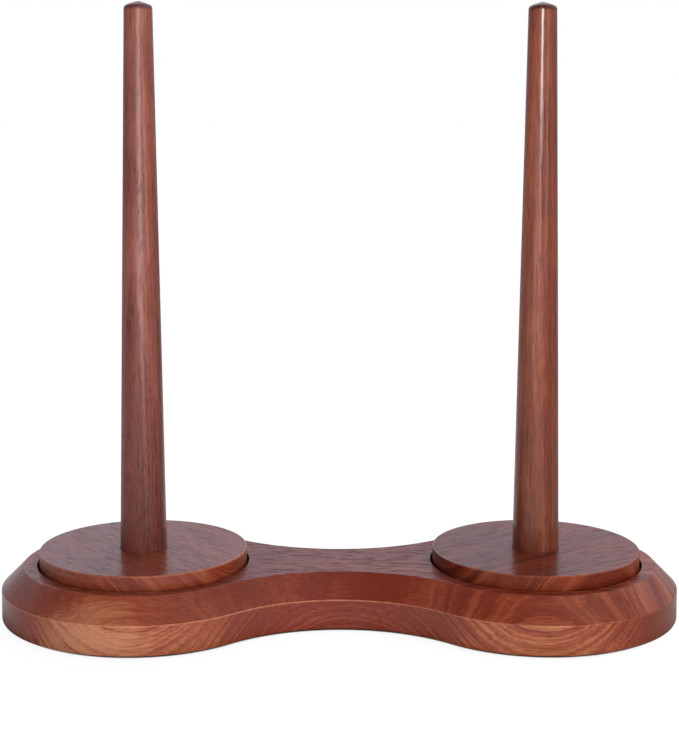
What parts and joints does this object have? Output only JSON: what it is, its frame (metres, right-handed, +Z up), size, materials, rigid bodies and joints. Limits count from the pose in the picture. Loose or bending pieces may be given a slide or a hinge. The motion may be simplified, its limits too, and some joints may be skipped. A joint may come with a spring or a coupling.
{
  "type": "yarn ball holder",
  "caption": "Free-standing wooden yarn ball holder: a waisted, bevelled base with turntables on hidden ball bearings, each with a tall tapered peg that yarn slides over and unwinds from.",
  "frame": {"origin": "on the surface that the holder stands on, under the middle of the base", "axes": "+Z up along the pegs, +X along the length of the base from the left turntable to the right one"},
  "size_m": [0.305, 0.127, 0.276],
  "materials": {
    "base_wood": "satin-gloss clear lacquer on red-brown open-pored hardwood, grain along the base",
    "turntable_wood": "satin-gloss clear lacquer on red-brown open-pored hardwood",
    "peg_wood": "satin-gloss clear lacquer, fine straight grain along the peg",
    "bearing_steel": "ground and polished",
    "steel": "zinc plated",
    "brass": "turned",
    "cage_brass": "pressed",
    "rubber": "matt moulded",
    "cap_plastic": "fine moulded texture"
  },
  "bodies": {
    "base": {"base_board": "base_wood", "rubber_feet": "rubber", "left_bearing_outer_ring": "bearing_steel", "left_bearing_shields": "steel", "left_retainer_plate": "steel", "left_retainer_screws": "steel", "left_cover_cap": "cap_plastic", "right_bearing_outer_ring": "bearing_steel", "right_bearing_shields": "steel", "right_retainer_plate": "steel", "right_retainer_screws": "steel", "right_cover_cap": "cap_plastic"},
    "left_spinner": {"left_turntable": "turntable_wood", "left_peg": "peg_wood", "left_peg_insert": "brass", "left_spindle": "steel", "left_spacer_washer": "steel", "left_bearing_inner_ring": "bearing_steel", "left_lower_washer": "steel", "left_lock_nut": "steel"},
    "left_ball_set": {"left_bearing_cage": "cage_brass", "left_bearing_balls": "bearing_steel"},
    "right_spinner": {"right_turntable": "turntable_wood", "right_peg": "peg_wood", "right_peg_insert": "brass", "right_spindle": "steel", "right_spacer_washer": "steel", "right_bearing_inner_ring": "bearing_steel", "right_lower_washer": "steel", "right_lock_nut": "steel"},
    "right_ball_set": {"right_bearing_cage": "cage_brass", "right_bearing_balls": "bearing_steel"}
  },
  "joints": [
    {"name": "left_spin", "type": "hinge", "parent": "base", "child": "left_spinner", "pos_m": [-0.08899, 0, 0.0137], "axis": [0, 0, 1], "continuous": true},
    {"name": "left_ball_orbit", "type": "hinge", "parent": "base", "child": "left_ball_set", "pos_m": [-0.08899, 0, 0.0137], "axis": [0, 0, 1], "continuous": true},
    {"name": "right_spin", "type": "hinge", "parent": "base", "child": "right_spinner", "pos_m": [0.08899, 0, 0.0137], "axis": [0, 0, 1], "continuous": true},
    {"name": "right_ball_orbit", "type": "hinge", "parent": "base", "child": "right_ball_set", "pos_m": [0.08899, 0, 0.0137], "axis": [0, 0, 1], "continuous": true}
  ],
  "couplings": [
    {"joint": "left_ball_orbit", "follows": "left_spin", "ratio": 0.3677},
    {"joint": "right_ball_orbit", "follows": "right_spin", "ratio": 0.3677}
  ]
}
